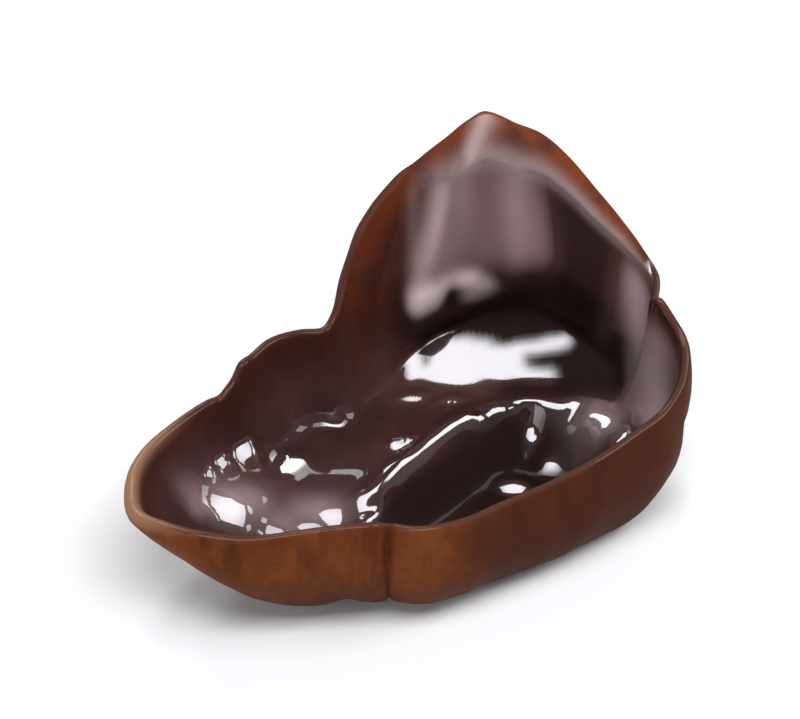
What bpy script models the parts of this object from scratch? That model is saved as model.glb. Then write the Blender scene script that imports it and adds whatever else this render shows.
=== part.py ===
"""Wood ear mushroom: one ear, grown in one piece as a thin cupped sheet.

A shallow oval cup runs out to a spoon-like tip at -X, and a peaked hood stands
up from its back edge (+Y). Inside the cup a folded ridge overhangs a deeper pit
at the front right. Under the floor a short stub is cut off flat, and the ear
stands on that cut. Lengths in the tables are millimetres; the mesh is in metres.
"""

import math

import bmesh
import bpy

MM = 0.001

# Moves the ear so that the middle of its bounds is at X = Y = 0.
SHIFT_X = -0.828
SHIFT_Y = -3.672

# How far behind its own origin the rim's directions start.
RIM_MIDDLE_Y = 2.0

# Number of cells across the sheet before it is given its thickness.
SHEET_CELLS = 42

# Inner edge of the rim: direction from the rim's middle in degrees (0 is +X,
# 90 is +Y), distance from the middle, height above the cut.
RIM = (
    (0, 29.9, 18.5),
    (7, 31.9, 20.4),
    (13, 32.2, 22.8),
    (17.5, 30.5, 26.0),
    (20, 30.3, 25.2),
    (23.5, 31.4, 23.2),
    (28, 33.2, 24.8),
    (33, 33.4, 26.6),
    (38, 32.4, 29.6),
    (44, 31.2, 32.9),
    (50, 30.2, 36.2),
    (56, 28.9, 38.9),
    (61, 27.3, 40.4),
    (64, 26.2, 41.7),
    (67, 25.1, 42.6),
    (71.5, 23.6, 41.9),
    (77, 22.2, 40.1),
    (84.5, 20.6, 37.8),
    (92, 19.2, 35.1),
    (100, 18.0, 32.4),
    (107, 17.1, 29.2),
    (112.5, 16.3, 25.0),
    (117.5, 15.2, 21.7),
    (122, 14.6, 20.4),
    (129, 14.3, 19.9),
    (138, 15.8, 20.0),
    (149, 17.3, 20.2),
    (159, 18.1, 20.0),
    (165, 18.9, 19.9),
    (169.5, 19.6, 18.4),
    (174, 20.7, 17.8),
    (180, 23.2, 17.5),
    (186.5, 26.2, 17.3),
    (193, 29.6, 17.0),
    (201, 32.2, 17.0),
    (207.5, 33.0, 16.8),
    (213.9, 31.2, 16.5),
    (221, 28.8, 16.2),
    (228, 26.0, 15.8),
    (234, 23.3, 15.8),
    (243, 20.6, 16.2),
    (254, 18.7, 16.4),
    (260, 18.1, 16.2),
    (264.8, 17.7, 15.4),
    (269, 17.9, 15.9),
    (275, 18.1, 16.1),
    (290.4, 17.9, 16.0),
    (309, 17.9, 16.2),
    (325.5, 19.6, 16.5),
    (339.7, 22.6, 17.0),
    (351, 26.0, 17.6),
)

# Wall below the rim: direction, how far it runs in plan from floor to rim, and
# its lean (above 1 it bellies outwards, below 1 it flares).
WALL = (
    (5, 6.4, 1.15),
    (13, 6.8, 1.1),
    (19, 5.2, 1.0),
    (26, 6.0, 0.9),
    (35, 4.5, 0.9),
    (50, 3.4, 0.95),
    (65, 3.0, 0.95),
    (85, 3.2, 0.9),
    (100, 4.5, 0.9),
    (118, 5.5, 0.85),
    (135, 5.0, 0.8),
    (165, 6.0, 0.7),
    (185, 8.0, 0.75),
    (200, 10.0, 0.9),
    (212, 9.0, 1.1),
    (225, 8.0, 1.25),
    (250, 7.0, 1.3),
    (275, 6.0, 1.25),
    (325, 6.0, 1.15),
    (345, 6.0, 1.15),
)

# Share of the sheet, from its middle outwards, that forms the floor of the cup.
FLOOR_SHARE = 0.50
WALL_START = 0.75
WALL_LIFT = 0.70

# Height of the floor under the front wall and of the floor behind the ridge,
# given along X, and the depth range in Y over which one turns into the other.
FRONT_FLOOR = (
    (-31, 13.5),
    (-25, 10.3),
    (-21, 7.8),
    (-16.5, 5.0),
    (-12, 3.0),
    (-8, 2.1),
    (-3, 2.1),
    (5, 2.6),
)
BACK_FLOOR = (
    (-30, 13.5),
    (-25, 11.0),
    (-20, 9.0),
    (-14, 7.8),
    (-8, 7.8),
    (-2, 8.2),
    (6, 8.4),
)
FLOOR_TURN_START = -12
FLOOR_TURN_END = 3

# Under the hood the floor slopes up towards the back.
SLOPE = 0.70
SLOPE_FOOT = 17.0
SLOPE_START = 15.5
SLOPE_END = 19.5
SLOPE_SIDE_START = -5
SLOPE_SIDE_END = 1

# Crest of the folded ridge in plan.
RIDGE = (
    (-6.6, -12.5),
    (-4.9, -6.0),
    (-2.6, -0.8),
    (1.3, 3.9),
    (5.8, 9.0),
    (9.5, 11.8),
    (14.2, 13.2),
    (18.5, 12.9),
    (22.6, 12.4),
    (26.2, 8.6),
)
RIDGE_STEPS = 12
RIDGE_HEIGHT = 1.2
RIDGE_WIDTH = 1.7
RIDGE_FADE_START = -12
RIDGE_FADE_END = -7
PIT_HEIGHT = 2.3
PIT_EDGE = 0.3
PIT_SLOPE = 5.6

# The hood bulges forwards as a dome. Its crest is at this share of the wall.
CREST = (
    (20, 0.94),
    (30, 0.92),
    (40, 0.905),
    (50, 0.895),
    (60, 0.885),
    (67, 0.88),
    (77, 0.90),
    (86, 0.93),
    (95, 0.95),
    (130, 0.95),
)
HOOD_RIGHT_START = 20
HOOD_RIGHT_END = 50
HOOD_LEFT_START = 96
HOOD_LEFT_END = 122
DOME_DEPTH = 6.6
DOME_START = 0.03
DOME_FULL_AT = 0.55
DOME_LEAN = 0.45
DOME_LIP = 0.3
DOME_LIP_WIDTH = 0.03
DOME_SET_BACK = 1.0
DOME_SIDE_START = -3.2
DOME_SIDE_END = 2.6

# A small upright slot in the middle of the dome.
SLOT_DEPTH = 1.1
SLOT_X = 5.6
SLOT_Z = 20.5
SLOT_HALF_WIDTH = 1.4
SLOT_HALF_HEIGHT = 2.8

# An upright crease in the front wall.
CREASE_ANGLE = 264.8
CREASE_RADIUS = 17.7
CREASE_DEPTH = 0.7
CREASE_WIDTH = 2.0
CREASE_NOTCH = 0.4
CREASE_NOTCH_WIDTH = 0.8

# Thickness of the flesh: in the body, at the rim, at the tip. The ridge is a
# fold, so the flesh under its crest is thinner.
BODY_THICKNESS = 2.0
RIM_THICKNESS = 1.2
RIM_START = 0.75
TIP_THICKNESS = 1.9
TIP_ANGLE = 205
TIP_SPREAD = 16
RIDGE_THINNING = 0.7

# Stub under the floor: a soft knob that leans back as it rises.
STUB_X = 1.0
STUB_Y = 7.0
STUB_HALF_X = 7.4
STUB_HALF_Y = 6.8
STUB_HEIGHT = 7.4
STUB_LEAN_X = -0.5
STUB_LEAN_Y = 0.4
STUB_SEGMENTS = 28
STUB_RINGS = 14

# Block that trims everything below the cut.
CUT_BLOCK_SIZE = 60
CUT_BLOCK_HEIGHT = 20

FLESH_COLOUR = (0.10, 0.045, 0.03, 1.0)
FLESH_ROUGHNESS = 0.22


def smooth_step(start, end, value):
    """Rise smoothly from 0 at start to 1 at end."""
    t = (value - start) / (end - start)
    t = min(max(t, 0.0), 1.0)
    return t * t * (3 - 2 * t)


def bell(offset, width):
    """Bump of height 1 that fades out to both sides."""
    return math.exp(-((offset / width) ** 2))


def bezier(t, a, b, c, d):
    """Cubic curve through a and d that is pulled towards b and c."""
    r = 1 - t
    return r ** 3 * a + 3 * r * r * t * b + 3 * r * t * t * c + t ** 3 * d


def straight(table, value):
    """Read a two-column table with straight lines between its rows."""
    if value <= table[0][0]:
        return table[0][1]
    for low, high in zip(table, table[1:]):
        if value <= high[0]:
            share = (value - low[0]) / (high[0] - low[0])
            return low[1] + (high[1] - low[1]) * share
    return table[-1][1]


def around(table, column, angle):
    """Read a closed table of directions with a smooth curve through its rows."""
    count = len(table)
    row = 0
    while row < count and table[row][0] <= angle:
        row += 1
    angles = []
    values = []
    for step in range(row - 2, row + 2):
        turns, index = divmod(step, count)
        angles.append(table[index][0] + 360 * turns)
        values.append(table[index][column])
    gaps = [angles[i + 1] - angles[i] for i in range(3)]
    slopes = [(values[i + 1] - values[i]) / gaps[i] for i in range(3)]
    start = (slopes[0] * gaps[1] + slopes[1] * gaps[0]) / (gaps[0] + gaps[1])
    end = (slopes[1] * gaps[2] + slopes[2] * gaps[1]) / (gaps[1] + gaps[2])
    t = (angle - angles[1]) / gaps[1]
    first = values[1] + start * gaps[1] / 3
    second = values[2] - end * gaps[1] / 3
    return bezier(t, values[1], first, second, values[2])


def ridge_points():
    """Points along the ridge's crest, close together, with their direction."""
    points = []
    rows = (RIDGE[0],) + RIDGE + (RIDGE[-1],)
    for i in range(1, len(rows) - 2):
        before, here, there, after = rows[i - 1:i + 3]
        for k in range(RIDGE_STEPS):
            t = k / RIDGE_STEPS
            point = []
            for axis in (0, 1):
                first = here[axis] + (there[axis] - before[axis]) / 6
                second = there[axis] - (after[axis] - here[axis]) / 6
                point.append(bezier(t, here[axis], first, second, there[axis]))
            points.append(tuple(point))
    points.append(RIDGE[-1])
    return points


CREST_LINE = ridge_points()


def ridge_distance(x, y):
    """Distance from the ridge's crest, positive on the side of the pit."""
    best = None
    for start, end in zip(CREST_LINE, CREST_LINE[1:]):
        run_x = end[0] - start[0]
        run_y = end[1] - start[1]
        length = math.hypot(run_x, run_y)
        share = ((x - start[0]) * run_x + (y - start[1]) * run_y) / length ** 2
        share = min(max(share, 0.0), 1.0)
        off_x = x - start[0] - run_x * share
        off_y = y - start[1] - run_y * share
        distance = math.hypot(off_x, off_y)
        if best is None or distance < abs(best):
            on_pit_side = run_y * off_x - run_x * off_y > 0
            best = distance if on_pit_side else -distance
    return best


def floor_height(x, y):
    """Height of the cup's floor, with the ridge and the pit."""
    distance = ridge_distance(x, y)
    turn = smooth_step(FLOOR_TURN_START, FLOOR_TURN_END, y)
    front = straight(FRONT_FLOOR, x)
    back = straight(BACK_FLOOR, x)
    plain = front + (back - front) * turn
    slope = smooth_step(SLOPE_START, SLOPE_END, y)
    slope *= smooth_step(SLOPE_SIDE_START, SLOPE_SIDE_END, x)
    plain += SLOPE * max(y - SLOPE_FOOT, 0.0) * slope
    pit = max(plain - PIT_HEIGHT, 0.0) * smooth_step(PIT_EDGE, PIT_SLOPE, distance)
    fade = smooth_step(RIDGE_FADE_START, RIDGE_FADE_END, y)
    ridge = RIDGE_HEIGHT * bell(distance, RIDGE_WIDTH) * fade
    return plain - pit + ridge


def dome_push(x, share, angle):
    """How far the hood's wall is pushed forwards at one place."""
    hood = smooth_step(HOOD_RIGHT_START, HOOD_RIGHT_END, angle)
    hood *= 1 - smooth_step(HOOD_LEFT_START, HOOD_LEFT_END, angle)
    crest = straight(CREST, angle)
    rise = smooth_step(DOME_START, DOME_FULL_AT, share)
    lean = 1 - DOME_LEAN * smooth_step(DOME_FULL_AT, 1.0, share / crest)
    above = min(max((share - crest) / (1 - crest), 0.0), 1.0) ** DOME_SET_BACK
    push = DOME_DEPTH * rise * lean * (1 - above)
    push += DOME_LIP * bell(share - crest, DOME_LIP_WIDTH)
    return push * hood * smooth_step(DOME_SIDE_START, DOME_SIDE_END, x)


def inner_skin(u, v):
    """Place one point of a flat disc of radius 1 on the ear's inner face."""
    radius = math.hypot(u, v)
    angle = math.degrees(math.atan2(v, u)) % 360
    rim_radius = around(RIM, 1, angle)
    rim_height = around(RIM, 2, angle)
    wall_run = around(WALL, 1, angle)
    wall_lean = around(WALL, 2, angle)

    share = max((radius - FLOOR_SHARE) / (1 - FLOOR_SHARE), 0.0)
    reach = (rim_radius - wall_run) * min(radius / FLOOR_SHARE, 1.0)
    reach += wall_run * bezier(share, 0, WALL_START, wall_lean, 1)
    off_crease = math.radians(angle - CREASE_ANGLE) * CREASE_RADIUS
    reach -= CREASE_DEPTH * bell(off_crease, CREASE_WIDTH) * smooth_step(0.1, 0.5, share)

    x = reach * math.cos(math.radians(angle))
    y = reach * math.sin(math.radians(angle)) + RIM_MIDDLE_Y
    floor = floor_height(x, y)
    z = floor + (rim_height - floor) * bezier(share, 0, 0, WALL_LIFT, 1)

    y -= dome_push(x, share, angle)
    if y > 0:
        slot = bell(x - SLOT_X, SLOT_HALF_WIDTH) * bell(z - SLOT_Z, SLOT_HALF_HEIGHT)
        y += SLOT_DEPTH * slot
    return x, y, z


def flesh_thickness(u, v, x, y):
    """Thickness of the flesh behind one point of the inner face."""
    radius = math.hypot(u, v)
    angle = math.degrees(math.atan2(v, u)) % 360
    rim = RIM_THICKNESS
    rim += (TIP_THICKNESS - RIM_THICKNESS) * bell(angle - TIP_ANGLE, TIP_SPREAD)
    thickness = BODY_THICKNESS + (rim - BODY_THICKNESS) * smooth_step(RIM_START, 1, radius)
    off_crease = math.radians(angle - CREASE_ANGLE) * CREASE_RADIUS
    notch = bell(off_crease, CREASE_NOTCH_WIDTH) * smooth_step(0.45, 0.6, radius)
    thickness -= CREASE_NOTCH * notch
    return thickness - RIDGE_THINNING * bell(ridge_distance(x, y), RIDGE_WIDTH)


def place(x, y, z):
    """Turn millimetres in the ear's plan into metres in the shared frame."""
    return ((x + SHIFT_X) * MM, (y + SHIFT_Y) * MM, z * MM)


def new_collection(name):
    """Make a collection and link it to the scene."""
    collection = bpy.data.collections.new(name)
    bpy.context.scene.collection.children.link(collection)
    return collection


def new_object(name, mesh, collection):
    """Make an object and link it to its collection."""
    thing = bpy.data.objects.new(name, mesh)
    collection.objects.link(thing)
    return thing


def flesh_material():
    """Dark brown, moist flesh."""
    material = bpy.data.materials.new("ear_flesh")
    material.use_nodes = True
    shader = material.node_tree.nodes["Principled BSDF"]
    shader.inputs["Base Color"].default_value = FLESH_COLOUR
    shader.inputs["Roughness"].default_value = FLESH_ROUGHNESS
    return material


def sheet_mesh():
    """Shape a flat grid into the inner face and note the flesh behind it."""
    mesh = bpy.data.meshes.new("wood_ear")
    grid = bmesh.new()
    bmesh.ops.create_grid(grid, x_segments=SHEET_CELLS, y_segments=SHEET_CELLS, size=1.0)
    grid.verts.ensure_lookup_table()
    weights = []
    for vert in grid.verts:
        a = vert.co.x
        b = vert.co.y
        u = a * math.sqrt(1 - b * b / 2)
        v = b * math.sqrt(1 - a * a / 2)
        x, y, z = inner_skin(u, v)
        weights.append(flesh_thickness(u, v, x, y) / BODY_THICKNESS)
        vert.co = place(x, y, z)
    for face in grid.faces:
        face.smooth = True
    grid.to_mesh(mesh)
    grid.free()
    return mesh, weights


def make_helper(name, mesh, collection):
    """Object that only serves to shape the ear."""
    helper = new_object(name, mesh, collection)
    helper.hide_render = True
    helper.display_type = "WIRE"
    return helper


def make_stub(collection):
    """Knob under the floor where the ear was cut from its wood."""
    mesh = bpy.data.meshes.new("stub")
    knob = bmesh.new()
    bmesh.ops.create_uvsphere(
        knob, u_segments=STUB_SEGMENTS, v_segments=STUB_RINGS, radius=1.0
    )
    for vert in knob.verts:
        z = vert.co.z * STUB_HEIGHT
        x = STUB_X + vert.co.x * STUB_HALF_X + z * STUB_LEAN_X
        y = STUB_Y + vert.co.y * STUB_HALF_Y + z * STUB_LEAN_Y
        vert.co = place(x, y, z)
    for face in knob.faces:
        face.smooth = True
    knob.to_mesh(mesh)
    knob.free()
    return make_helper("stub", mesh, collection)


def make_cut_block(collection):
    """Block below the cut plane."""
    mesh = bpy.data.meshes.new("cut_block")
    block = bmesh.new()
    bmesh.ops.create_cube(block, size=1.0)
    for vert in block.verts:
        vert.co.x *= CUT_BLOCK_SIZE * MM
        vert.co.y *= CUT_BLOCK_SIZE * MM
        vert.co.z = (vert.co.z - 0.5) * CUT_BLOCK_HEIGHT * MM
    block.to_mesh(mesh)
    block.free()
    return make_helper("cut_block", mesh, collection)


def make_ear(collection, stub, cutter):
    """The whole ear: a shaped sheet, its thickness, and the flat cut."""
    mesh, weights = sheet_mesh()
    ear = new_object("wood_ear", mesh, collection)
    mesh.materials.append(flesh_material())
    group = ear.vertex_groups.new(name="flesh")
    for index, weight in enumerate(weights):
        group.add([index], weight, "REPLACE")

    flesh = ear.modifiers.new("flesh", "SOLIDIFY")
    flesh.thickness = BODY_THICKNESS * MM
    flesh.offset = -1.0
    flesh.vertex_group = "flesh"
    flesh.use_rim = True

    join = ear.modifiers.new("stub", "BOOLEAN")
    join.operation = "UNION"
    join.solver = "EXACT"
    join.object = stub

    cut = ear.modifiers.new("flat_cut", "BOOLEAN")
    cut.operation = "DIFFERENCE"
    cut.solver = "EXACT"
    cut.object = cutter
    return ear


def main():
    """Clear the scene and build the ear."""
    for thing in list(bpy.data.objects):
        bpy.data.objects.remove(thing)
    parts = new_collection("wood_ear_mushroom")
    cutters = new_collection("cutters")
    stub = make_stub(cutters)
    cutter = make_cut_block(cutters)
    make_ear(parts, stub, cutter)


main()
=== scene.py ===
import math

import bpy
import numpy as np
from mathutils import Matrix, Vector, kdtree, noise


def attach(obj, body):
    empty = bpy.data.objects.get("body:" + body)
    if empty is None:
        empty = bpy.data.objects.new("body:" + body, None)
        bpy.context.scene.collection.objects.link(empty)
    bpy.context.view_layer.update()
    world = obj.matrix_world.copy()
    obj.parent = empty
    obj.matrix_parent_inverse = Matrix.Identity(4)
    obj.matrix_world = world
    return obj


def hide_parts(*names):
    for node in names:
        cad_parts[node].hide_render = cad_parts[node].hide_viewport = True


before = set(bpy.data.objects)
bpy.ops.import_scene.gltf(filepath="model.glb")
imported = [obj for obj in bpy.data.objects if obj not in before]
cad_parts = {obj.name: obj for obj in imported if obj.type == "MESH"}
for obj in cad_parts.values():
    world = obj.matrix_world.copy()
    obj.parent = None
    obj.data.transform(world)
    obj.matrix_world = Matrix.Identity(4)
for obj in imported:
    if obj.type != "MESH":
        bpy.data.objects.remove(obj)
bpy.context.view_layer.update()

# One wood ear: a thin, wet, cupped sheet with a peaked hood. Lengths are
# millimetres in the ear's own plan, and SHIFT puts them in the frame. Directions
# are degrees round the middle of the rim. A share runs from 0 at the foot of the
# wall to 1 at the rim. A pair gives where a change starts and where it ends.
MM = 0.001
SHIFT = np.array([-0.828, -3.672, 0.0])
RIM_MIDDLE_Y = 2.0
CELLS = 196
RIM_ROWS = 6

# Rim: direction, radius in plan, height.
RIM = np.array([
    (0, 29.9, 18.5), (7, 31.9, 20.4), (13, 32.2, 22.8), (17.5, 30.5, 26.0),
    (20, 30.3, 25.2), (23.5, 31.4, 23.2), (28, 33.2, 24.8), (33, 33.4, 26.6),
    (38, 32.4, 29.6), (44, 31.2, 32.9), (50, 30.2, 36.2), (56, 28.9, 38.9),
    (61, 27.3, 40.4), (64, 26.2, 41.7), (67, 25.1, 42.6), (71.5, 23.6, 41.9),
    (77, 22.2, 40.1), (84.5, 20.6, 37.8), (92, 19.2, 35.1), (100, 18.0, 32.4),
    (107, 17.1, 29.2), (112.5, 16.3, 25.0), (117.5, 15.2, 21.7), (122, 14.6, 20.4),
    (129, 14.3, 19.9), (138, 15.8, 20.0), (149, 17.3, 20.2), (159, 18.1, 20.0),
    (165, 18.9, 19.9), (169.5, 19.6, 18.4), (174, 20.7, 17.8), (180, 23.2, 17.5),
    (186.5, 26.2, 17.3), (193, 29.6, 17.0), (201, 32.2, 17.0), (207.5, 33.0, 16.8),
    (213.9, 31.2, 16.5), (221, 28.8, 16.2), (228, 26.0, 15.8), (234, 23.3, 15.8),
    (243, 20.6, 16.2), (254, 18.7, 16.4), (260, 18.1, 16.2), (264.8, 17.7, 15.4),
    (269, 17.9, 15.9), (275, 18.1, 16.1), (290.4, 17.9, 16.0), (309, 17.9, 16.2),
    (325.5, 19.6, 16.5), (339.7, 22.6, 17.0), (351, 26.0, 17.6)])

# Wall: direction, how far it runs in plan from floor to rim, and its lean.
WALL = np.array([
    (5, 6.4, 1.15), (13, 6.8, 1.1), (19, 5.2, 1.0), (26, 6.0, 0.9), (35, 4.5, 0.9),
    (50, 3.4, 0.95), (65, 3.0, 0.95), (85, 3.2, 0.9), (100, 4.5, 0.9),
    (118, 5.5, 0.85), (135, 5.0, 0.8), (165, 6.0, 0.7), (185, 8.0, 0.75),
    (200, 10.0, 0.9), (212, 9.0, 1.1), (225, 8.0, 1.25), (250, 7.0, 1.3),
    (275, 6.0, 1.25), (325, 6.0, 1.15), (345, 6.0, 1.15)])
FLOOR_SHARE = 0.5
WALL_START = 0.75
WALL_LIFT = 0.70

# Height of the floor along X, under the front wall and behind the ridge.
FRONT_FLOOR = np.array([(-31, 13.5), (-25, 10.3), (-21, 7.8), (-16.5, 5.0),
                        (-12, 3.0), (-8, 2.1), (-3, 2.1), (5, 2.6)])
BACK_FLOOR = np.array([(-30, 13.5), (-25, 11.0), (-20, 9.0), (-14, 7.8),
                       (-8, 7.8), (-2, 8.2), (6, 8.4)])
FLOOR_TURN = (-12, 3)

# Under the hood the floor slopes up towards the back, from a gently waved foot.
SLOPE = 0.70
SLOPE_SIDE = (-5, 1)
SLOPE_SOFTNESS = 0.5
FOOT_Y = 15.1
FOOT_RIGHT = 0.6
FOOT_RIGHT_FROM = (11, 20)
FOOT_WAVE = 0.25
FOOT_WAVE_RATE = 0.45
FOOT_WAVE_START = 1.6

# Crest of the folded ridge in plan, and the two drops from it into the pit: share
# of the depth, and where each starts and ends.
RIDGE = np.array([(-6.6, -12.5), (-4.9, -6.0), (-2.6, -0.8), (1.3, 3.9), (5.8, 9.0),
                  (9.5, 11.8), (14.2, 13.2), (18.5, 12.9), (22.6, 12.4), (26.2, 8.6)])
RIDGE_STEPS = 12
RIDGE_HEIGHT = 1.2
RIDGE_WIDTH = 1.7
RIDGE_FADE = (-12, -7)
PIT_HEIGHT = 2.3
PIT_DROPS = ((0.22, (-0.6, 2.4)), (0.78, (1.4, 6.0)))

# Dome of the hood. Its crest is given along the directions, as a share of the wall.
CREST = np.array([(20, 0.94), (30, 0.92), (40, 0.905), (50, 0.895), (60, 0.885),
                  (67, 0.88), (77, 0.90), (86, 0.93), (95, 0.95), (130, 0.95)])
DOME_RIGHT = (20, 50)
DOME_LEFT = (96, 122)
DOME_DEPTH = 6.6
DOME_RISE = (0.03, 0.55)
DOME_LEAN = 0.45
DOME_LEAN_FROM = (0.58, 1.0)
DOME_SET_BACK = 0.75
DOME_LIP = 0.5
DOME_LIP_WIDTH = 0.03
DOME_SIDE = (-3.2, 2.6)
SHOULDER = 3.0
SHOULDER_FROM = (0.50, 0.88)

# A small upright slot in the middle of the dome.
SLOT_X = 5.6
SLOT_Z = 20.5
SLOT_DEPTH = 1.1
SLOT_HALF_WIDTH = 1.4
SLOT_HALF_HEIGHT = 2.8

# An upright crease in the front wall.
CREASE_ANGLE = 264.8
CREASE_RADIUS = 17.7
CREASE_DEPTH = 0.7
CREASE_WIDTH = 2.0
CREASE_FROM = (0.1, 0.5)
CREASE_NOTCH = 0.4
CREASE_NOTCH_WIDTH = 0.8
CREASE_NOTCH_FROM = (0.45, 0.6)

# Thickness of the flesh. It is wider at the left tip, and thinner under the ridge
# and at the notch of the rim beside the hood.
BODY = 2.0
RIM_FLESH = 1.2
RIM_FLESH_FROM = (0.75, 1)
TIP_EXTRA = 0.7
TIP_ANGLE = 205
TIP_SPREAD = 16
NOTCH_THINNING = 0.5
NOTCH_ANGLE = 26
NOTCH_SPREAD = 9
NOTCH_FROM = (0.80, 0.95)
RIDGE_THINNING = 0.7

# Stub under the floor: centre, half sizes of the cut, and its flare.
STUB_X = 1.0
STUB_Y = 7.0
STUB_HALF_X = 7.4
STUB_HALF_Y = 6.8
STUB_EDGE = 0.985
STUB_FLARE = 0.60
STUB_CURVE = 0.55
STUB_WRINKLE = 0.05
STUB_WRINKLE_SIZE = 2.6
STUB_WRINKLE_FROM = (1.0, 1.3)
UNDERSIDE_TOP = 11

# Slopes (along X, along Y) that turn the skin towards the window or the back light.
TO_WINDOW = (-0.02, 0.76)
TO_BACK = (0.114, 0.178)

# Small flats of wet skin: plan position, size along X and Y, slope.
FLATS = (
    (-13.2, 3.5, 3.0, 2.2, TO_BACK),
    (-8.0, 10.0, 1.6, 1.1, TO_WINDOW), (-9.9, 7.3, 2.0, 1.2, TO_BACK),
    (-0.6, 6.0, 1.1, 1.3, TO_WINDOW), (1.0, 6.6, 1.1, 1.0, TO_WINDOW),
    (-20.0, -4.8, 3.6, 2.6, TO_WINDOW), (-17.4, -2.0, 1.8, 1.2, TO_WINDOW),
    (-23.0, -6.6, 1.6, 1.4, TO_WINDOW), (-14.6, -5.8, 2.4, 1.2, TO_WINDOW),
    (-11.0, -4.9, 2.4, 1.2, TO_WINDOW), (-7.8, -3.4, 2.6, 1.5, TO_WINDOW),
    (-4.6, -2.4, 1.5, 1.5, TO_WINDOW), (1.2, 14.3, 2.6, 1.0, TO_WINDOW),
    (6.0, 13.7, 2.6, 0.9, TO_WINDOW), (23.6, 10.6, 2.8, 2.0, TO_WINDOW),
    (20.6, 11.2, 1.8, 1.2, TO_WINDOW), (25.4, 7.4, 1.6, 2.0, TO_WINDOW),
    (15.2, 10.4, 1.2, 2.2, TO_WINDOW), (17.6, 8.4, 1.5, 1.2, TO_WINDOW),
    (13.0, 5.4, 2.6, 1.5, TO_WINDOW), (10.6, 11.6, 2.6, 0.9, TO_WINDOW),
    (17.0, 12.9, 3.0, 0.8, TO_WINDOW), (20.6, 13.0, 2.4, 0.8, TO_WINDOW),
    (23.6, 12.2, 1.8, 0.8, TO_WINDOW),
)
FLAT_GLOSS = (0.55, 0.80)

# Panes on the back left wall, levelled towards the window: plan position, size.
PANES = ((-18.2, 3.0, 2.1, 1.5), (-20.6, 0.8, 1.5, 1.0), (-22.0, -1.2, 1.1, 0.9))
PANE_GLOSS = (0.60, 0.85)

# Strokes of wet skin at the foot of the dome: from, to, radius. They end at a
# height that is a little greater on the right.
STROKES = (
    (1.0, 19.4, 2.0, 17.6, 1.0), (2.0, 17.2, 4.8, 16.5, 1.4), (4.8, 17.2, 10.6, 17.2, 2.0),
    (4.4, 19.8, 9.0, 19.0, 1.3), (9.0, 18.6, 13.2, 18.9, 1.5), (13.2, 19.8, 19.4, 20.6, 0.6),
    (12.0, 17.5, 17.2, 16.9, 0.85),
)
STROKE_EDGE = 0.35
STROKE_TOP = (12.1, 13.3)
STROKE_TOP_RAISE = 0.8
STROKE_TOP_RAISE_FROM = (11, 15)

# Upright pleats on the front of the dome, each with a painted highlight: place along X, width,
# height.
PLEATS = ((1.4, 0.9, 0.30), (6.4, 1.7, 0.30), (12.6, 1.9, 0.34))

# Blobs beside the slot in the dome: X, Z, size along X and Z, height.
BLOBS = ((3.1, 22.0, 2.7, 3.3, 0.45), (9.0, 20.8, 2.4, 3.6, 0.42), (6.4, 23.9, 3.4, 1.8, 0.25))
# Where each blob's painted highlight and painted sheen fade out, in shares of its size.
BLOB_HIGHLIGHT_EDGE = (0.45, 1.15)

# Painted hazy sheen on the floor: plan position, size along X and Y, strength.
PAINTED_HAZES = (
    (23.2, 10.6, 3.2, 2.4, 1.0), (-18.4, -3.2, 3.4, 2.4, 1.0), (-23.0, -4.9, 2.0, 1.8, 0.7),
    (-9.6, -2.8, 3.6, 1.6, 0.9), (-13.4, -4.4, 3.0, 1.3, 0.7),
)

# Colours of the inner face, of the outer face, and of the rim and the cut. Some of them are
# painted light: glow, shade, sheen and highlights.
INSIDE_DARK = (0.030, 0.013, 0.012)
INSIDE_WARM = (0.052, 0.022, 0.019)
# Red-brown up the wall: partly the flesh's own colour, partly painted glow of light through the
# thin flesh.
WALL_RED_AND_GLOW = (0.034, 0.008, 0.005)
# Painted shade.
PAINTED_SHADE_COLOUR = (0.014, 0.006, 0.005)
# Hood's margin: painted glow at the rim, and its own brown with painted shade at its base.
MARGIN_GLOW = (0.125, 0.028, 0.008)
MARGIN_BROWN_AND_SHADE = (0.078, 0.017, 0.008)
# Painted sheen.
PAINTED_SHEEN_COLOUR = (0.150, 0.094, 0.098)
# Painted highlight.
PAINTED_HIGHLIGHT_COLOUR = (0.56, 0.45, 0.44)
OUTSIDE_PALE = (0.140, 0.039, 0.009)
OUTSIDE_AMBER = (0.088, 0.022, 0.006)
OUTSIDE_DARK = (0.032, 0.007, 0.003)
RIM_PALE = (0.066, 0.027, 0.016)
TIP_PALE = (0.30, 0.16, 0.09)
CUT_PALE = (0.20, 0.10, 0.05)
FLOOR_COLOUR = (0.74, 0.74, 0.74, 1.0)

# Sizes of the skin's blotches, mottles, veins and grain, in metres.
BLOTCH = 0.009
MOTTLE = 0.0045
WOBBLE = 0.004
VEIN = 0.0024
VEIN_STRETCH = (1, 1, 0.22)
GRAIN = 0.0013
FINE_GRAIN = 0.0006

# Gloss of satin and wet skin, and the light that spreads in the flesh.
SATIN_ROUGHNESS = 0.60
WET_SMOOTHING = 0.40
SPECULAR = 0.05
COAT_ROUGHNESS = 0.06
COAT_IOR = 1.8
FLESH_GLOW = 0.25
FLESH_GLOW_RADIUS = (1.0, 0.32, 0.12)
FLESH_GLOW_SCALE = 0.0012

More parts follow.
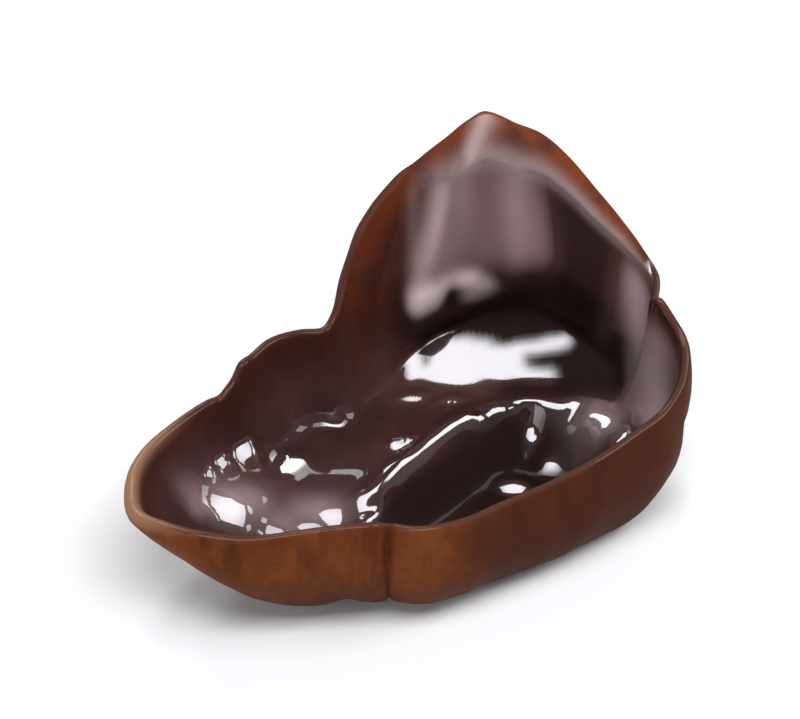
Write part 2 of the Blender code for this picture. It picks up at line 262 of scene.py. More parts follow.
# Camera and lights, in metres. Lights: name, place, aim, size, power, colour.
CAMERA_TARGET = Vector((-0.0010, 0.0045, 0.0196))
CAMERA_DISTANCE = 0.52
CAMERA_ELEVATION = math.radians(40)
CAMERA_LENS = 204.0
WHITE = (1.0, 1.0, 1.0)
LIGHTS = (
    ("window", (0.02, -0.165, 0.39), (0.005, 0.012, 0.01), (0.28, 0.16), 1.55,
     (0.95, 0.94, 1.0)),
    ("back", (-0.08, 0.22, 0.38), (-0.01, 0, 0.01), (0.11, 0.09), 0.45, WHITE),
    ("back_left", (-0.15, 0.36, 0.31), (-0.01, 0, 0.01), (0.12, 0.10), 0.5, WHITE),
    ("right", (0.32, -0.03, 0.33), (0.0, 0.005, 0.01), (0.20, 0.16), 1.1, WHITE),
    ("front", (-0.35, -0.45, 0.30), (0, 0, 0.01), (0.30, 0.30), 0.6, WHITE),
    ("low_front", (0.05, -0.52, 0.13), (0.005, 0, 0.025), (0.30, 0.12), 0.2, WHITE),
)
SKY_FROM = (0.15, 0.75)
SKY_STRENGTH = (0.60, 0.13)


def step(start, end, value):
    """Rise smoothly from 0 at start to 1 at end."""
    t = np.clip((value - start) / (end - start), 0, 1)
    return t * t * (3 - 2 * t)


def fade(start, end, value):
    """Fall smoothly from 1 at start to 0 at end."""
    return 1 - step(start, end, value)


def bell(offset, width):
    """Bump of height 1 that fades out to both sides."""
    return np.exp(-(offset / width) ** 2)


def bezier(t, a, b, c, d):
    """Cubic curve through a and d that is pulled towards b and c."""
    r = 1 - t
    return r ** 3 * a + 3 * r * r * t * b + 3 * r * t * t * c + t ** 3 * d


def around(table, column, angle):
    """Smooth curve through a closed table of directions."""
    a = np.concatenate([table[-2:, 0] - 360, table[:, 0], table[:2, 0] + 360])
    v = np.concatenate([table[-2:, column], table[:, column], table[:2, column]])
    gap = np.diff(a)
    slope = np.diff(v) / gap
    m = np.zeros_like(v)
    m[1:-1] = (slope[:-1] * gap[1:] + slope[1:] * gap[:-1]) / (gap[1:] + gap[:-1])
    i = np.clip(np.searchsorted(a, angle, side="right") - 1, 1, len(a) - 3)
    h = a[i + 1] - a[i]
    t = (angle - a[i]) / h
    return bezier(t, v[i], v[i] + m[i] * h / 3, v[i + 1] - m[i + 1] * h / 3, v[i + 1])


def along(table, value):
    """Straight lines between the rows of a table of two columns."""
    return np.interp(value, table[:, 0], table[:, 1])


def ridge_line():
    """Points close together along the ridge's crest."""
    rows = np.vstack([RIDGE[:1], RIDGE, RIDGE[-1:]])
    points = []
    for i in range(1, len(rows) - 2):
        first = rows[i] + (rows[i + 1] - rows[i - 1]) / 6
        second = rows[i + 1] - (rows[i + 2] - rows[i]) / 6
        for t in np.arange(0, 1, 1 / RIDGE_STEPS):
            points.append(bezier(t, rows[i], first, second, rows[i + 1]))
    points.append(RIDGE[-1])
    return np.array(points)


CREST_LINE = ridge_line()


def ridge_distance(x, y):
    """Distance from the ridge's crest, positive on the side of the pit."""
    best = np.full(x.shape, 1e9)
    for start, end in zip(CREST_LINE, CREST_LINE[1:]):
        run = end - start
        share = np.clip(((x - start[0]) * run[0] + (y - start[1]) * run[1]) / (run @ run), 0, 1)
        off_x = x - start[0] - run[0] * share
        off_y = y - start[1] - run[1] * share
        far = np.hypot(off_x, off_y)
        signed = np.where(run[1] * off_x - run[0] * off_y > 0, far, -far)
        best = np.where(far < np.abs(best), signed, best)
    return best


def floor_height(x, y):
    """Height of the cup's floor, with the slope under the hood, the ridge and the pit."""
    far = ridge_distance(x, y)
    front = along(FRONT_FLOOR, x)
    back = along(BACK_FLOOR, x)
    plain = front + (back - front) * step(*FLOOR_TURN, y)
    foot = FOOT_Y + FOOT_RIGHT * step(*FOOT_RIGHT_FROM, x)
    foot = foot + FOOT_WAVE * np.sin(FOOT_WAVE_RATE * x + FOOT_WAVE_START)
    rise = SLOPE_SOFTNESS * np.logaddexp(0, (y - foot) / SLOPE_SOFTNESS)
    plain = plain + SLOPE * rise * step(*SLOPE_SIDE, x)
    down = sum(part * step(*reach, far) for part, reach in PIT_DROPS)
    pit = np.maximum(plain - PIT_HEIGHT, 0) * down
    return plain - pit + RIDGE_HEIGHT * bell(far, RIDGE_WIDTH) * step(*RIDGE_FADE, y)


def shoulder_shift(share):
    """How far the left shoulder of the dome moves to the right as it rises."""
    return SHOULDER * step(*SHOULDER_FROM, share)


def dome_push(x, share, angle):
    """How far the hood's wall is pushed forwards."""
    hood = step(*DOME_RIGHT, angle) * fade(*DOME_LEFT, angle)
    crest = along(CREST, angle)
    lean = 1 - DOME_LEAN * step(*DOME_LEAN_FROM, share / crest)
    above = np.clip((share - crest) / (1 - crest), 0, 1) ** DOME_SET_BACK
    push = DOME_DEPTH * step(*DOME_RISE, share) * lean * (1 - above)
    push = push + DOME_LIP * bell(share - crest, DOME_LIP_WIDTH)
    return push * hood * step(*DOME_SIDE, x - shoulder_shift(share))


def wall_share(radius):
    """0 on the floor, and up the wall to 1 at the rim."""
    return np.clip((radius - FLOOR_SHARE) / (1 - FLOOR_SHARE), 0, 1)


def from_crease(angle):
    """Distance along the rim from the crease in the front wall."""
    return np.radians(angle - CREASE_ANGLE) * CREASE_RADIUS


def direction(u, v):
    """Direction in degrees, from 0 to 360, round the middle of the disc."""
    return np.degrees(np.arctan2(v, u)) % 360


def inner_skin(u, v):
    """Places points of a flat disc of radius 1 on the ear's inner face."""
    radius = np.hypot(u, v)
    angle = direction(u, v)
    run = around(WALL, 1, angle)
    rim = around(RIM, 1, angle)
    share = wall_share(radius)
    reach = (rim - run) * np.minimum(radius / FLOOR_SHARE, 1)
    reach = reach + run * bezier(share, 0, WALL_START, around(WALL, 2, angle), 1)
    crease = bell(from_crease(angle), CREASE_WIDTH)
    reach = reach - CREASE_DEPTH * crease * step(*CREASE_FROM, share)
    x = reach * np.cos(np.radians(angle))
    y = reach * np.sin(np.radians(angle)) + RIM_MIDDLE_Y
    floor = floor_height(x, y)
    z = floor + (around(RIM, 2, angle) - floor) * bezier(share, 0, 0, WALL_LIFT, 1)
    y = y - dome_push(x, share, angle)
    slot = bell(x - SLOT_X, SLOT_HALF_WIDTH) * bell(z - SLOT_Z, SLOT_HALF_HEIGHT)
    return np.stack([x, y + SLOT_DEPTH * slot * (y > 0), z], -1)


def unit(vectors):
    """The same directions with length 1."""
    return vectors / (np.linalg.norm(vectors, axis=-1, keepdims=True) + 1e-12)


def skin_normals(u, v):
    """Directions out of the inner face, taken just inside the rim."""
    h = 0.004
    u = u * (1 - 1.5 * h)
    v = v * (1 - 1.5 * h)
    du = inner_skin(u + h, v) - inner_skin(u - h, v)
    dv = inner_skin(u, v + h) - inner_skin(u, v - h)
    return unit(np.cross(du, dv))


def soften(field, rounds):
    """Averages a field over the neighbours in the grid."""
    for _ in range(rounds):
        total = field.copy()
        count = np.ones(field.shape[:2] + (1,) * (field.ndim - 2))
        total[1:] += field[:-1]
        total[:-1] += field[1:]
        total[:, 1:] += field[:, :-1]
        total[:, :-1] += field[:, 1:]
        count[1:] += 1
        count[:-1] += 1
        count[:, 1:] += 1
        count[:, :-1] += 1
        field = total / count
    return field


def noise_at(points, size, seed):
    """Smooth noise of about -1 to 1 at each point, for lumps of that size."""
    flat = points.reshape(-1, 3) / size + seed * 7.31
    values = [noise.noise(Vector(p)) for p in flat]
    return np.array(values).reshape(points.shape[:-1])


def thickness(u, v, points):
    """Thickness of the flesh behind the inner face."""
    radius = np.hypot(u, v)
    angle = direction(u, v)
    rim = RIM_FLESH + TIP_EXTRA * bell(angle - TIP_ANGLE, TIP_SPREAD)
    flesh = BODY + (rim - BODY) * step(*RIM_FLESH_FROM, radius)
    crease = bell(from_crease(angle), CREASE_NOTCH_WIDTH)
    flesh = flesh - CREASE_NOTCH * crease * step(*CREASE_NOTCH_FROM, radius)
    notch = bell(angle - NOTCH_ANGLE, NOTCH_SPREAD) * step(*NOTCH_FROM, radius)
    flesh = flesh - NOTCH_THINNING * notch
    far = ridge_distance(points[..., 0], points[..., 1])
    return flesh - RIDGE_THINNING * bell(far, RIDGE_WIDTH)


def disc_grid():
    """Points of a flat disc of radius 1, from a square grid."""
    line = np.linspace(-1, 1, CELLS + 1)
    a, b = np.meshgrid(line, line, indexing="ij")
    return a * np.sqrt(1 - b * b / 2), b * np.sqrt(1 - a * a / 2)


def end_early(u, v, edge, flesh):
    """Draws the sheet in a little, so that its rounded edge stays inside the rim."""
    radius = np.hypot(u, v)
    out = edge - inner_skin(u * 0.99, v * 0.99)
    pace = np.linalg.norm(out, axis=-1) / 0.01
    pull = 0.5 * flesh / np.maximum(pace, 5) * step(0.5, 1, radius)
    pull = np.where(radius > 0.5, pull, 0)
    return u * (1 - pull), v * (1 - pull)


class Skin:
    """The bare inner face, and what its relief, gloss and tones depend on."""

    def __init__(self, u, v, radius):
        self.points = inner_skin(u, v)
        self.x = self.points[..., 0]
        self.y = self.points[..., 1]
        self.z = self.points[..., 2]
        self.normal = skin_normals(u, v)
        self.radius = radius
        self.angle = direction(u, v)
        self.share = wall_share(radius)
        self.ridge = ridge_distance(self.x, self.y)

        # Parts of the ear, each 1 inside and 0 outside.
        self.hood = step(20, 42, self.angle) * fade(104, 124, self.angle)
        self.hood = self.hood * step(0.15, 0.5, self.share)
        self.crest = along(CREST, self.angle)
        self.past_crest = self.share - self.crest
        self.front = self.hood * fade(-0.02, 0.01, self.past_crest)
        self.from_shoulder = self.x - shoulder_shift(self.share)
        self.left = fade(-3.2, 2.2, self.from_shoulder)
        self.low_floor = fade(15.5, 17.5, self.z) * (1 - self.hood * step(20.5, 22.5, self.y))
        self.pit = step(0.2, 1.6, self.ridge) * fade(7.5, 9.5, self.z)
        self.turned = (self.angle + 180) % 360 - 180
        self.right_side = step(-35, -15, self.turned) * fade(34, 42, self.turned)
        self.right_wall = self.right_side * step(0.12, 0.3, self.share)
        self.right_wall = self.right_wall * fade(0.75, 0.95, self.share)
        self.calm = fade(0.86, 1.0, radius)

        # Pleats run upright, and ragged varies how far wet patches reach.
        self.pleats = noise_at(self.points * [1, 0.12, 0.16], 2.4, 3)
        self.ragged = 1 + 0.35 * noise_at(self.points, 1.5, 9)
        self.slot = 1.4 * bell(self.x - SLOT_X, 0.9) * bell(self.z - 20.8, 3.0)
        self.slot = np.minimum(self.slot, 1)

    def far(self, at_x, at_y, size_x, size_y):
        """Distance in plan from a place, in shares of a size."""
        return np.hypot((self.x - at_x) / size_x, (self.y - at_y) / size_y)


def soft_relief(skin):
    """Lift of lumps, pleats and blobs, with the painted highlights of pleats and blobs."""
    lumps = 0.10 * noise_at(skin.points, 6.5, 1) + 0.05 * noise_at(skin.points, 3.0, 2)
    lift = (lumps + 0.20 * skin.pleats * skin.hood) * (0.25 + 0.75 * skin.calm)
    pleat_highlight = np.zeros_like(lift)
    for at_x, width, height in PLEATS:
        band = skin.front * bell(skin.x - at_x, width)
        lift = lift + height * band
        # Painted highlight along the pleat.
        pleat_highlight = np.maximum(pleat_highlight, band * height / 0.42)
    blob_highlight = np.zeros_like(lift)
    for at_x, at_z, size_x, size_z, height in BLOBS:
        far = np.hypot((skin.x - at_x) / size_x, (skin.z - at_z) / size_z)
        lift = lift + height * skin.front * bell(far, 1)
        blob_highlight = np.maximum(blob_highlight, skin.front * fade(*BLOB_HIGHLIGHT_EDGE, far))
    return lift, pleat_highlight * step(0.35, 0.85, skin.share), blob_highlight


def wet_patches(skin):
    """Rise of the flats and panes, and how wet the skin is."""
    x, y, z = skin.x, skin.y, skin.z
    slope_x = -skin.normal[..., 0] / np.maximum(skin.normal[..., 2], 0.25)
    slope_y = -skin.normal[..., 1] / np.maximum(skin.normal[..., 2], 0.25)
    rise = np.zeros_like(z)
    wet = fade(1.0, 1.6, np.abs(skin.ridge - 0.25)) * step(-9, -5, y)
    for at_x, at_y, size_x, size_y, (to_x, to_y) in FLATS:
        far = skin.far(at_x, at_y, size_x, size_y)
        here = np.unravel_index(np.argmin(far + 100 * (skin.low_floor < 0.5)), far.shape)
        turn = (to_x - slope_x[here]) * (x - at_x) + (to_y - slope_y[here]) * (y - at_y)
        rise = rise + turn * np.exp(-far ** 4) * skin.low_floor
        wet = np.maximum(wet, fade(*FLAT_GLOSS, far * skin.ragged) * skin.low_floor)
    for at_x, at_y, size_x, size_y in PANES:
        far = skin.far(at_x, at_y, size_x, size_y)
        here = np.unravel_index(np.argmin(far), far.shape)
        level = z[here] + TO_WINDOW[0] * (x - at_x) + TO_WINDOW[1] * (y - at_y)
        rise = rise + (level - z) * np.exp(-far ** 4)
        wet = np.maximum(wet, fade(*PANE_GLOSS, far * skin.ragged))
    top = z - STROKE_TOP_RAISE * step(*STROKE_TOP_RAISE_FROM, x)
    for from_x, from_y, to_x, to_y, size in STROKES:
        run_x, run_y = to_x - from_x, to_y - from_y
        t = ((x - from_x) * run_x + (y - from_y) * run_y) / (run_x ** 2 + run_y ** 2)
        t = np.clip(t, 0, 1)
        far = np.hypot(x - from_x - t * run_x, y - from_y - t * run_y)
        inside = fade(size - STROKE_EDGE, size + STROKE_EDGE, far * skin.ragged)
        wet = np.maximum(wet, inside * fade(*STROKE_TOP, top))
    drops = step(-0.1, 0.4, noise_at(skin.points, 1.6, 8)) * step(0.86, 0.92, skin.share)
    return rise, np.maximum(wet, drops * skin.right_side)


def satin_skin(skin, wet):
    """How dull the skin is: 0 where it is wet, 1 where it is satin."""
    damp = 0.20 * (1 - skin.hood) * fade(0.3, 0.6, skin.share) * fade(13.0, 15.0, skin.y)
    satin = soften(1 - np.maximum(wet, damp * (1 - 0.8 * skin.pit)), 1)
    hazy = np.maximum(step(-12, -16, skin.x), step(-1, -4, skin.y))
    return satin + (soften(satin, 6) - satin) * hazy


def skin_tones(skin, pleat_highlight, blob_highlight, wet):
    """Painted light of the inner face: painted sheen above 0, painted shade below 0, and
    painted highlights.
    """
    x, y, z = skin.x, skin.y, skin.z

    # Painted shade, dark: in the pit, at the foot and the right end of the dome, and on the
    # slope.
    dome_foot = skin.front * fade(23.0, 26.0, z) * step(15.0, 17.0, y)
    dome_end = skin.front * step(15.5, 19.5, x) * step(36, 44, skin.turned)
    slope = step(14.5, 16.0, y) * step(0.5, 3.5, x) * fade(13.0, 17.0, z)
    painted_shade = np.maximum.reduce([skin.pit, 0.10 * dome_foot, dome_end, slope])
    painted_shade = painted_shade * (1 - blob_highlight) * (1 - wet)

    # Painted sheen on the upper front of the dome, the blobs, the right wall and the hazy
    # patches.
    painted_sheen = skin.front * step(22.5, 27.0, z) * step(-2.5, 1.5, skin.from_shoulder)
    painted_sheen = painted_sheen * fade(16.0, 21.5, x + 0.25 * (z - 28))
    painted_sheen = painted_sheen * (0.72 + 0.40 * skin.pleats) * (0.8 + 0.40 * bell(x - 15.0, 2.4))
    painted_sheen = painted_sheen * (1 - 0.35 * step(29, 36, z))
    painted_sheen = np.maximum(painted_sheen, 0.9 * blob_highlight) * (1 - skin.slot)
    painted_sheen = np.maximum(painted_sheen, skin.right_wall * (0.7 + 0.6 * skin.pleats))
    painted_haze = np.zeros_like(painted_sheen)
    for at_x, at_y, size_x, size_y, strength in PAINTED_HAZES:
        painted_haze = np.maximum(painted_haze, strength * bell(skin.far(at_x, at_y, size_x, size_y), 1))
    painted_haze = painted_haze * skin.low_floor
    painted_sheen = np.maximum(painted_sheen, painted_haze) - painted_shade * (1 - skin.slot)

    # Painted highlights on the crest, peak, pleats, left shoulder, blobs, hazy patches and
    # right wall.
    peak_line = x - 7.3 - 20 * (skin.share - 0.88)
    shoulder_highlight = skin.front * bell(skin.from_shoulder - 1.6, 1.4) * step(23, 28, z)
    painted_highlight = np.maximum.reduce([
        0.60 * skin.hood * bell(skin.past_crest, 0.034) * (1 - skin.left),
        skin.hood * bell(peak_line, 1.2) * step(0.86, 0.90, skin.share),
        0.35 * pleat_highlight,
        0.75 * shoulder_highlight,
        1.95 * blob_highlight * (1 - skin.slot),
        0.45 * painted_haze,
        0.60 * skin.right_wall * np.clip(0.5 + 1.2 * skin.pleats, 0, 1)])
    return soften(painted_sheen, 3), soften(painted_highlight, 3)


def flared_margin(skin):
    """The brown margin of the hood, above the crest and left of the dome."""
    beyond = step(0.0, 0.30, skin.past_crest / (1 - skin.crest))
    left = skin.left * (0.35 + 0.65 * step(0.3, 0.95, skin.share))
    return skin.hood * np.maximum(beyond, left)


def outer_face(skin, flesh):
    """The face behind the flesh, eased behind the hood, with shallow growth folds."""
    normal = unit(soften(skin.normal, 14))
    outer = skin.points - normal * flesh[..., None]
    ease = step(14, 24, skin.angle) * fade(110, 124, skin.angle)
    ease = ease * step(0.05, 0.25, skin.share) * fade(0.90, 1.0, skin.share)
    outer = outer + (soften(outer, 40) - outer) * ease[..., None]
    folds = 0.10 * noise_at(outer * [1, 1, 0.5], 4.0, 4) + 0.05 * noise_at(outer, 1.7, 5)
    turn = np.radians(skin.angle)
    fan = np.stack([np.cos(turn), np.sin(turn), 0.18 * skin.radius], -1)
    folds = folds + 0.16 * noise_at(fan, 0.16, 7) * step(0.35, 0.6, skin.radius)
    return outer + normal * (folds * skin.calm)[..., None]


def add_stub(outer):
    """Draws the underside down to the flat cut, and says where the cut is."""
    x, y, z = outer[..., 0], outer[..., 1], outer[..., 2]
    far = np.hypot((x - STUB_X) / STUB_HALF_X, (y - STUB_Y) / STUB_HALF_Y)
    wrinkle = noise_at(np.stack([x, y, 0 * far], -1), STUB_WRINKLE_SIZE, 6)
    far = far * (1 + STUB_WRINKLE * wrinkle * step(*STUB_WRINKLE_FROM, far))
    low = np.clip((far - STUB_EDGE) / STUB_FLARE, 0, 1) ** STUB_CURVE
    under = z < UNDERSIDE_TOP
    outer[..., 2] = np.where(under, z * low, z)
    return (1 - low) * under


def border(n):
    """Grid places of the border in order round the sheet."""
    ring = [(i, 0) for i in range(n)] + [(n, j) for j in range(n)]
    ring += [(i, n) for i in range(n, 0, -1)] + [(0, j) for j in range(n, 0, -1)]
    return ring


def rim_points(top, bottom, away):
    """Rows of points round the edge of the sheet, from its inner to its outer face."""
    across = top - bottom
    middle = (top + bottom) / 2
    half = np.linalg.norm(across, axis=-1, keepdims=True) / 2
    up = across / (2 * half)
    away = unit(away - (away * up).sum(-1, keepdims=True) * up)
    rows = []
    for k in range(1, RIM_ROWS):
        turn = math.pi * k / RIM_ROWS
        rows.append(middle + half * (math.cos(turn) * up + math.sin(turn) * away))
    return np.vstack(rows)


def sheet_faces(ring):
    """Faces of the inner face, the outer face and the rim, and which are outside."""
    n = CELLS
    count = (n + 1) ** 2
    index = np.arange(count).reshape(n + 1, n + 1).tolist()
    faces = []
    outside = []
    for i in range(n):
        for j in range(n):
            q = (index[i][j], index[i + 1][j], index[i + 1][j + 1], index[i][j + 1])
            faces += [q, tuple(count + k for k in reversed(q))]
            outside += [False, True]
    size = len(ring)
    loops = [[index[i][j] for i, j in ring]]
    for k in range(RIM_ROWS - 1):
        first = 2 * count + k * size
        loops.append(list(range(first, first + size)))
    loops.append([count + k for k in loops[0]])
    for row, (first, second) in enumerate(zip(loops, loops[1:])):
        for k in range(size):
            m = (k + 1) % size
            faces.append((first[k], second[k], second[m], first[m]))
            outside.append(row >= RIM_ROWS // 2)
    return faces, outside


def distance_from_rim(points, size):
    """How far each point is from the middle row of the rim, in millimetres."""
    first = 2 * (CELLS + 1) ** 2 + (RIM_ROWS // 2 - 1) * size
    tree = kdtree.KDTree(size)
    for k, p in enumerate(points[first:first + size]):
        tree.insert(p, k)
    tree.balance()
    return np.array([tree.find(p)[2] for p in points])


def build_ear():
    """The dressed ear as one closed mesh, with what its material reads from it."""
    u, v = disc_grid()
    radius = np.hypot(u, v)
    edge = inner_skin(u, v)
    flesh = thickness(u, v, edge)
    u, v = end_early(u, v, edge, flesh)
    away = edge - inner_skin(u * 0.97, v * 0.97)

    skin = Skin(u, v, radius)
    lift, pleat_highlight, blob_highlight = soft_relief(skin)
    rise, wet = wet_patches(skin)
    satin = satin_skin(skin, wet)
    # Painted sheen and shade, and painted highlights, for the inner face.
    pale, painted_highlight = skin_tones(skin, pleat_highlight, blob_highlight, wet)
    margin = flared_margin(skin)
    inner = skin.points + skin.normal * lift[..., None]
    inner[..., 2] += rise
    outer = outer_face(skin, flesh)
    cut = add_stub(outer)

    ring = border(CELLS)
    rows, columns = np.array(ring).T
    rim = rim_points(inner[rows, columns], outer[rows, columns], away[rows, columns])
    points = np.vstack([inner.reshape(-1, 3), outer.reshape(-1, 3), rim])
    faces, outside = sheet_faces(ring)
    mesh = bpy.data.meshes.new("wood_ear_look")
    mesh.from_pydata(((points + SHIFT) * MM).tolist(), [], faces)
    mesh.shade_smooth()
    mesh.polygons.foreach_set("material_index", np.array(outside, dtype=np.int32))

    # Values on the inner face, on the outer face and on the rows of the rim.
    none = np.zeros(satin.shape)
    full = np.ones(satin.shape)
    bare = np.zeros(len(rim))
    turns = [0.5 + 0.5 * math.cos(math.pi * k / RIM_ROWS) for k in range(1, RIM_ROWS)]
    rim_margin = np.tile(margin[rows, columns], RIM_ROWS - 1)
    fields = {
        "side": (full, none, np.repeat(turns, len(ring))),
        "cut": (none, cut, bare),
        "margin": (margin, margin, rim_margin),
        # Painted highlights.
        "painted_highlight": (painted_highlight, none, bare),
        "satin": (satin, full, bare + 0.9),
        # pale: painted sheen above 0, painted shade below 0.
        "pale": (pale, none, bare),
        "from_rim": (distance_from_rim(points, len(ring)),),
    }
    for name, values in fields.items():
        layer = mesh.attributes.new(name, "FLOAT", "POINT")
        values = np.concatenate([np.ravel(value) for value in values])
        layer.data.foreach_set("value", values.astype(np.float32))
    ear = bpy.data.objects.new("wood_ear_look", mesh)
    bpy.context.scene.collection.objects.link(ear)
    return ear


class Nodes:
    """Short hand for building a shader."""

    def __init__(self, name):
        self.material = bpy.data.materials.new(name)
        self.material.use_nodes = True
        self.tree = self.material.node_tree
        self.shader = self.tree.nodes["Principled BSDF"]

    def add(self, kind, settings=None, **inputs):
        """A node with its settings, and its sockets by name, spaces written as _."""
        node = self.tree.nodes.new(kind)
        for key, value in (settings or {}).items():
            setattr(node, key, value)
        for key, value in inputs.items():
            self.set(node, key.replace("_", " "), value)
        return node

    def set(self, node, key, value):
        """Link a socket of another node, or set a value, on the socket key."""
        socket = node.inputs[key]
        if isinstance(value, bpy.types.NodeSocket):
            self.tree.links.new(value, socket)
        else:
            socket.default_value = value

    def field(self, name):
        """A value that the mesh carries at its points."""
        return self.add("ShaderNodeAttribute", {"attribute_name": name}).outputs["Fac"]

    def noise(self, place, size, detail, rough=0.5):
        node = self.add("ShaderNodeTexNoise", Vector=place, Scale=1 / size,
                        Detail=detail, Roughness=rough)
        return node.outputs["Fac"]

    def math(self, kind, a, b):
        node = self.add("ShaderNodeMath", {"operation": kind})
        self.set(node, 0, a)
        self.set(node, 1, b)
        return node.outputs[0]

    def times(self, a, b):
        return self.math("MULTIPLY", a, b)

    def less(self, value):
        """What is missing to 1."""
        return self.math("SUBTRACT", 1.0, value)

    def ramp(self, value, low, high):
        """0 below low, 1 above high, smooth between."""
        node = self.add("ShaderNodeMapRange", {"interpolation_type": "SMOOTHSTEP"},
                        Value=value, From_Min=low, From_Max=high)
        return node.outputs["Result"]

    def mix(self, share, a, b):
        """Colour a, with a share of colour b."""
        node = self.add("ShaderNodeMix", {"data_type": "RGBA"})
        self.set(node, 0, share)
        for key, colour in ((6, a), (7, b)):
            plain = not isinstance(colour, bpy.types.NodeSocket)
            self.set(node, key, (*colour, 1.0) if plain else colour)
        return node.outputs[2]


def inside_colour(n, place, across, blotch, wobble, from_rim):
    """Purple-brown skin, red-brown up the wall that is partly painted glow, with painted sheen,
    painted shade and painted highlights.
    """
    inside = n.mix(n.ramp(blotch, 0.35, 0.70), INSIDE_DARK, INSIDE_WARM)
    rim_way = n.math("ADD", from_rim, n.times(wobble, 0.5))
    # Red-brown towards the rim, partly painted glow of light through the thin flesh.
    wall = n.less(n.ramp(rim_way, 0.5, 7.0))
    inside = n.mix(n.times(wall, 0.85), inside, WALL_RED_AND_GLOW)
    # pale carries painted sheen above 0 and painted shade below 0.
    pale = n.field("pale")
    inside = n.mix(n.ramp(pale, 0.0, -1.0), inside, PAINTED_SHADE_COLOUR)
    inside = n.mix(n.math("MAXIMUM", pale, 0.0), inside, PAINTED_SHEEN_COLOUR)

    # Painted light on the hood's margin: a glow that is brightest at the rim on its right, and
    # painted shade towards its base.
    rim_glow = n.less(n.ramp(rim_way, 0.8, 4.0))
    rightwards = n.math("ADD", n.times(n.ramp(across, -0.008, 0.012), 0.6), 0.4)
    brown = n.mix(n.times(rim_glow, rightwards), MARGIN_BROWN_AND_SHADE, MARGIN_GLOW)
    mottle = n.ramp(n.noise(place, MOTTLE, 4.0, 0.6), 0.44, 0.66)
    brown = n.mix(n.times(mottle, 0.60), brown, INSIDE_DARK)
    inside = n.mix(n.field("margin"), inside, brown)
    # Painted highlights.
    return n.mix(n.times(n.field("painted_highlight"), 0.50), inside, PAINTED_HIGHLIGHT_COLOUR)


def outside_colour(n, place, across, blotch, wobble, from_rim, grain):
    """Amber-brown skin, darker below, in veins and in specks, and with painted shade on the
    right.
    """
    outside = n.mix(n.ramp(blotch, 0.35, 0.68), OUTSIDE_AMBER, OUTSIDE_PALE)
    depth = n.math("ADD", from_rim, n.times(wobble, 1.5))
    upright = n.add("ShaderNodeMapping", Vector=place, Scale=VEIN_STRETCH).outputs[0]
    darker = (
        n.times(n.ramp(depth, 6.0, 17.0), 0.65),
        n.times(n.ramp(grain, 0.42, 0.66), 0.20),
        n.times(n.ramp(n.noise(upright, VEIN, 4.0, 0.6), 0.46, 0.68), 0.45),
        # Painted shade on the right.
        n.times(n.ramp(across, -0.001, 0.012), 0.78),
    )
    for share in darker:
        outside = n.mix(share, outside, OUTSIDE_DARK)
    return outside


def ear_material(name):
    """Skin of the ear. What varies over it comes from the mesh or from noise."""
    n = Nodes(name)
    place = n.add("ShaderNodeTexCoord").outputs["Object"]
    across = n.add("ShaderNodeSeparateXYZ", Vector=place).outputs["X"]
    from_rim = n.field("from_rim")
    blotch = n.noise(place, BLOTCH, 3.0)
    grain = n.noise(place, GRAIN, 4.0, 0.6)
    wobble = n.times(n.math("SUBTRACT", n.noise(place, WOBBLE, 3.0), 0.5), 4.0)

    inside = inside_colour(n, place, across, blotch, wobble, from_rim)
    outside = outside_colour(n, place, across, blotch, wobble, from_rim, grain)
    colour = n.mix(n.ramp(n.field("side"), 0.35, 0.65), outside, inside)
    lip = n.less(n.ramp(from_rim, 0.1, 0.75))
    colour = n.mix(n.times(lip, 0.8), colour, RIM_PALE)
    tip = n.times(n.less(n.ramp(across, -0.0315, -0.0235)), n.less(n.ramp(from_rim, 0.3, 2.0)))
    colour = n.mix(n.times(tip, 0.7), colour, TIP_PALE)
    n.set(n.shader, "Base Color", n.mix(n.field("cut"), colour, CUT_PALE))

    wet = n.less(n.field("satin"))
    smoothing = n.times(wet, WET_SMOOTHING)
    n.set(n.shader, "Roughness", n.math("SUBTRACT", SATIN_ROUGHNESS, smoothing))
    n.set(n.shader, "Coat Weight", wet)
    n.set(n.shader, "Coat Roughness", COAT_ROUGHNESS)
    n.set(n.shader, "Coat IOR", COAT_IOR)
    n.set(n.shader, "Specular IOR Level", SPECULAR)
    n.set(n.shader, "Subsurface Weight", FLESH_GLOW)
    n.set(n.shader, "Subsurface Radius", FLESH_GLOW_RADIUS)
    n.set(n.shader, "Subsurface Scale", FLESH_GLOW_SCALE)

    fine = n.noise(place, FINE_GRAIN, 3.0, 0.6)
    skin = n.math("ADD", n.times(grain, 0.5), n.times(fine, 0.5))
    bump = n.add("ShaderNodeBump", Strength=0.35, Distance=0.0002, Height=skin)
    n.set(n.shader, "Normal", bump.outputs["Normal"])
    return n.material


def add_floor():
    """A pale floor that reaches far behind the ear."""
    bpy.ops.mesh.primitive_plane_add(size=3.0, location=(0, 0.6, 0))
    floor = bpy.context.object
    floor.name = "floor"
    n = Nodes("pale_floor")
    n.set(n.shader, "Base Color", FLOOR_COLOUR)
    n.set(n.shader, "Roughness", 0.6)
    floor.data.materials.append(n.material)


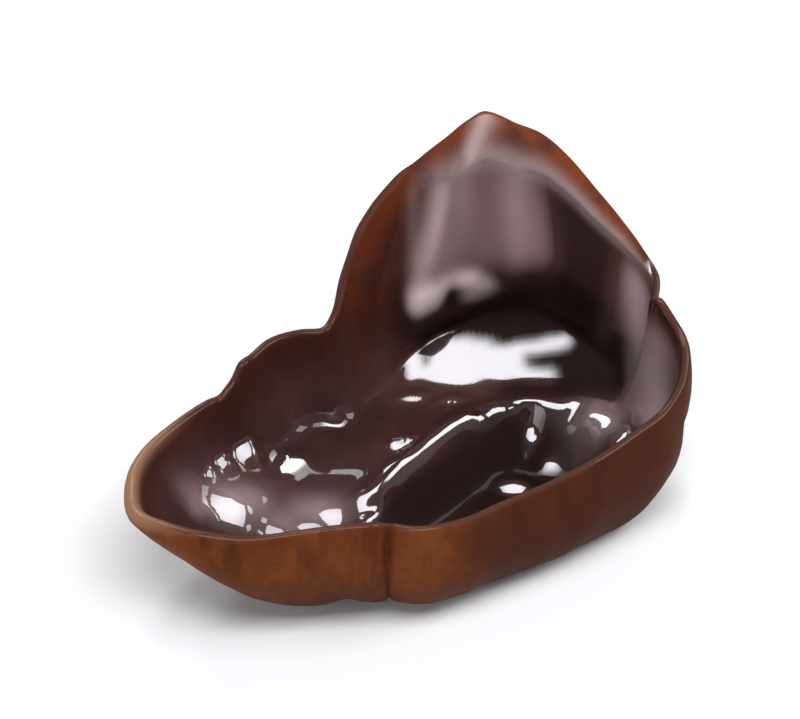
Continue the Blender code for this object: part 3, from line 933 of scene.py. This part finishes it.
def add_camera():
    data = bpy.data.cameras.new("camera")
    data.lens = CAMERA_LENS
    data.sensor_width = 36.0
    camera = bpy.data.objects.new("camera", data)
    bpy.context.scene.collection.objects.link(camera)
    away = Vector((0, -math.cos(CAMERA_ELEVATION), math.sin(CAMERA_ELEVATION)))
    camera.location = CAMERA_TARGET + away * CAMERA_DISTANCE
    camera.rotation_euler = (math.radians(90) - CAMERA_ELEVATION, 0, 0)
    bpy.context.scene.camera = camera


def add_light(name, place, aim, size, power, colour):
    data = bpy.data.lights.new(name, "AREA")
    data.shape = "RECTANGLE"
    data.size, data.size_y = size
    data.energy = power
    data.color = colour
    light = bpy.data.objects.new(name, data)
    light.location = place
    light.rotation_euler = (Vector(aim) - Vector(place)).to_track_quat("-Z", "Y").to_euler()
    bpy.context.scene.collection.objects.link(light)


def add_world():
    """A white sky that is brightest low down."""
    world = bpy.data.worlds.new("studio")
    world.use_nodes = True
    tree = world.node_tree
    sky = tree.nodes["Background"]
    place = tree.nodes.new("ShaderNodeTexCoord")
    split = tree.nodes.new("ShaderNodeSeparateXYZ")
    height = tree.nodes.new("ShaderNodeMapRange")
    height.interpolation_type = "SMOOTHSTEP"
    height.inputs["From Min"].default_value = SKY_FROM[0]
    height.inputs["From Max"].default_value = SKY_FROM[1]
    height.inputs["To Min"].default_value = SKY_STRENGTH[0]
    height.inputs["To Max"].default_value = SKY_STRENGTH[1]
    tree.links.new(place.outputs["Generated"], split.inputs[0])
    tree.links.new(split.outputs["Z"], height.inputs["Value"])
    tree.links.new(height.outputs["Result"], sky.inputs["Strength"])
    sky.inputs["Color"].default_value = (1, 1, 1, 1)
    bpy.context.scene.world = world


def main():
    bpy.context.scene.view_settings.view_transform = "Standard"
    ear = build_ear()
    ear.data.materials.append(ear_material("ear_flesh_inner"))
    ear.data.materials.append(ear_material("ear_flesh_outer"))
    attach(ear, "root")
    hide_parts("wood_ear")
    add_floor()
    add_camera()
    add_world()
    for light in LIGHTS:
        add_light(*light)


main()
